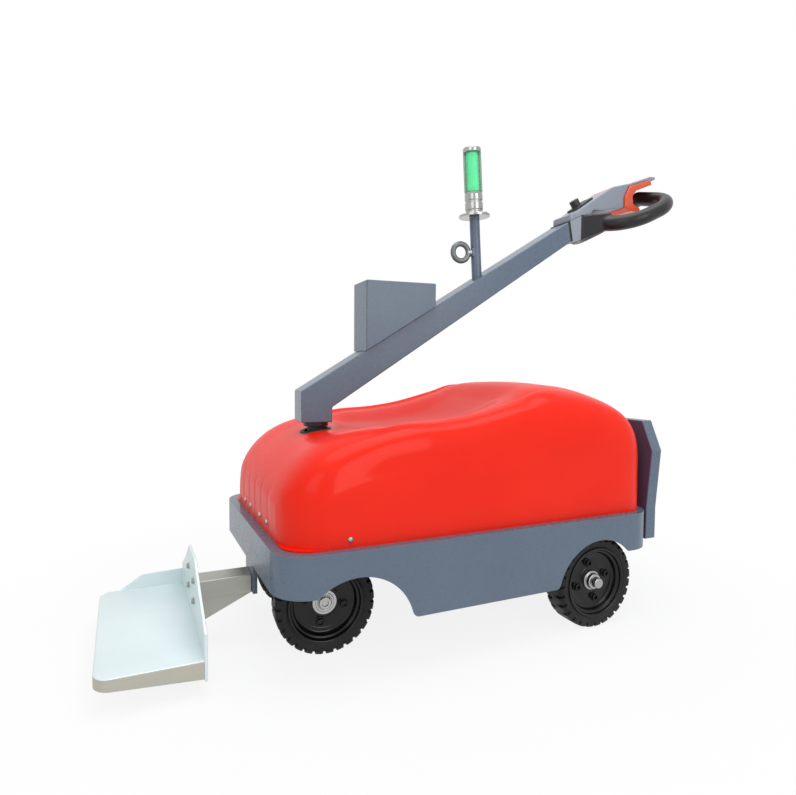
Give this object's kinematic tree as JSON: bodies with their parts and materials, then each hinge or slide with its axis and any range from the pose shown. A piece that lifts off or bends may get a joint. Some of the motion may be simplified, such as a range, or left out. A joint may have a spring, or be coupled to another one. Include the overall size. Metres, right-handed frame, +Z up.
{
  "type": "electric tow tractor",
  "caption": "Walk-behind electric tow tractor with tiller steering, a moulded cover on a skirted chassis, solid tyres, a signal lamp and a front tow tray on a short drawbar.",
  "frame": {"origin": "bottom centre of the bounding box, on the ground", "axes": "+X from the tow tray to the grip, +Y across the vehicle away from the side seen, +Z up"},
  "size_m": [1.4625, 0.62, 1.1935],
  "materials": {
    "chassis_paint": "satin",
    "inner_steel": "matte",
    "battery_case": "matte",
    "cover_red": "gloss",
    "panel_dark": "satin",
    "hitch_steel": "galvanised",
    "tray_steel": "bright",
    "cast_black": "matte",
    "bright_zinc": "zinc plated",
    "black_rubber": "matte",
    "lamp_chrome": "polished",
    "lamp_clear": "clear",
    "lamp_green": "lit",
    "black_plastic": "matte",
    "head_grey": "satin",
    "paddle_orange": "satin",
    "tyre": "matte",
    "rim_black": "gloss"
  },
  "bodies": {
    "chassis": {"skirt": "chassis_paint", "front_deck": "inner_steel", "rear_deck": "inner_steel", "belly_pan": "inner_steel", "battery_pack": "battery_case", "cover": "cover_red", "rear_panel": "panel_dark", "drawbar_flange": "hitch_steel", "drawbar_tube": "hitch_steel", "drawbar_gusset": "hitch_steel", "tray_back_plate": "tray_steel", "tow_tray": "tray_steel", "rear_axle": "cast_black", "axle_hanger_near": "inner_steel", "axle_hanger_far": "inner_steel", "steer_bearing": "cast_black"},
    "tiller": {"steer_bogie": "cast_black", "steer_column": "bright_zinc", "column_collar": "black_rubber", "tiller_arm": "chassis_paint", "control_box": "chassis_paint", "lamp_post": "chassis_paint", "eye_bolt": "bright_zinc", "lamp_foot": "lamp_chrome", "lamp_lens": "lamp_clear", "lamp_core": "lamp_green", "lamp_cap": "lamp_chrome", "tiller_neck": "black_plastic", "tiller_head": "head_grey", "grip_loop": "black_rubber", "paddle": "paddle_orange", "key_switch": "black_plastic"},
    "front_wheel_near": {"front_near_tyre": "tyre", "front_near_rim": "rim_black", "front_near_hub": "bright_zinc"},
    "front_wheel_far": {"front_far_tyre": "tyre", "front_far_rim": "rim_black", "front_far_hub": "bright_zinc"},
    "rear_wheel_near": {"rear_near_tyre": "tyre", "rear_near_rim": "rim_black", "rear_near_hub": "lamp_chrome"},
    "rear_wheel_far": {"rear_far_tyre": "tyre", "rear_far_rim": "rim_black", "rear_far_hub": "lamp_chrome"}
  },
  "joints": [
    {"name": "steer", "type": "hinge", "parent": "chassis", "child": "tiller", "pos_m": [-0.25525, 0, 0.35], "axis": [0, 0, 1], "range_deg": [-18, 26]},
    {"name": "front_spin_near", "type": "hinge", "parent": "tiller", "child": "front_wheel_near", "pos_m": [-0.27863, -0.13369, 0.1105], "axis": [0.0698, 0.9976, 0], "continuous": true},
    {"name": "front_spin_far", "type": "hinge", "parent": "tiller", "child": "front_wheel_far", "pos_m": [-0.2598, 0.13565, 0.1105], "axis": [0.0698, 0.9976, 0], "continuous": true},
    {"name": "rear_spin_near", "type": "hinge", "parent": "chassis", "child": "rear_wheel_near", "pos_m": [0.35575, -0.268, 0.1105], "axis": [0, 1, 0], "continuous": true},
    {"name": "rear_spin_far", "type": "hinge", "parent": "chassis", "child": "rear_wheel_far", "pos_m": [0.35575, 0.268, 0.1105], "axis": [0, 1, 0], "continuous": true}
  ]
}
